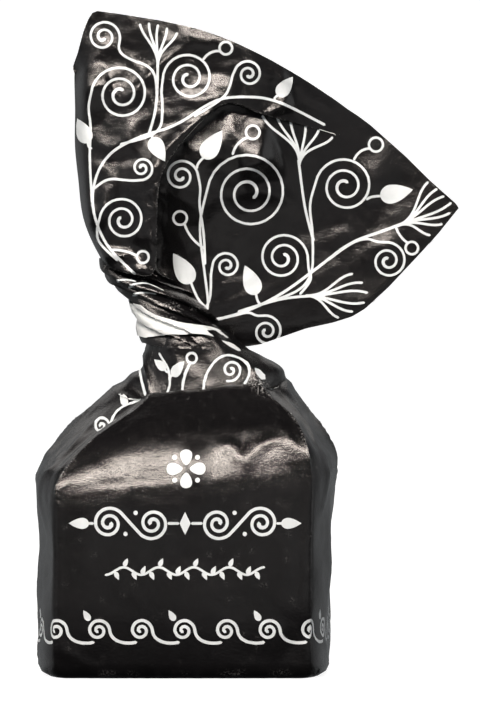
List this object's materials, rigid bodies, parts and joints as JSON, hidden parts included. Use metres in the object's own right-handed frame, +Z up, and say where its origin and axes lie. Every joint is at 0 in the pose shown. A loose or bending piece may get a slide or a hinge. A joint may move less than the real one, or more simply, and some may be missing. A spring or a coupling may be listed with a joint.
{
  "type": "wrapped chocolate truffle",
  "caption": "Chocolate truffle in a black paper twist wrapper: soft box-shaped pack with a flat base, hooded shoulders, a twisted neck and a wide flared fan of paper on top.",
  "frame": {"origin": "middle of the flat base that the pack stands on", "axes": "+Z up through the twist, -Y out of the front panel, +X to the right when looking at the front panel, the side that the fan leans to"},
  "size_m": [0.0465, 0.0308, 0.0731],
  "materials": {
    "wrapper": "satin black print with white scrolls on thin white paper"
  },
  "bodies": {
    "root": {"wrapped_truffle": "wrapper"}
  },
  "joints": []
}
